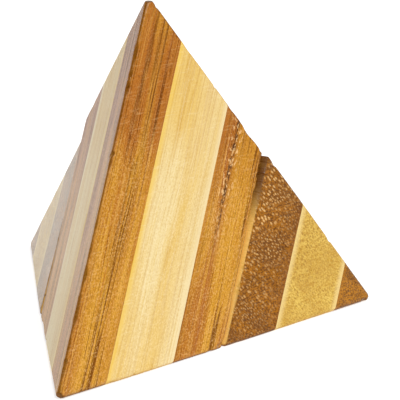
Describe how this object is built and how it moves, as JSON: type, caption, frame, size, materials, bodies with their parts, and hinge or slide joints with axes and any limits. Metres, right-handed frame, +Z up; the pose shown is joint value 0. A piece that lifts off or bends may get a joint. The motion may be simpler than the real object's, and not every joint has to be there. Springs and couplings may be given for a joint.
{
  "type": "pyramid puzzle",
  "caption": "Bamboo tetrahedron puzzle cut into matching wedges that turn and part on a square mid-face, striped in dark and light laminations.",
  "frame": {"origin": "middle of the tetrahedron's triangular base, on the surface it stands on and straight under the apex", "axes": "+Z up to the apex, +X along the rear wedge's ridge, -Y towards the front wedge's foot"},
  "size_m": [0.055, 0.0478, 0.0456],
  "materials": {
    "carbonised_bamboo": "steamed brown bamboo, hand-sanded and lightly oiled, satin",
    "natural_bamboo": "pale bamboo, hand-sanded and lightly oiled, satin"
  },
  "bodies": {
    "rear_half": {"rear_ridge_strip": "carbonised_bamboo", "rear_core_strip": "natural_bamboo", "rear_mating_strip_wide": "carbonised_bamboo", "rear_mating_strip_narrow": "carbonised_bamboo"},
    "front_half": {"front_ridge_strip": "carbonised_bamboo", "front_core_strip": "natural_bamboo", "front_mating_strip_wide": "carbonised_bamboo", "front_mating_strip_narrow": "carbonised_bamboo"}
  },
  "joints": [
    {"name": "half_turn", "type": "hinge", "parent": "rear_half", "child": "front_half", "pos_m": [-0.0002, 0.00012, 0.01171], "axis": [0, 0.8165, -0.5774], "continuous": true}
  ]
}
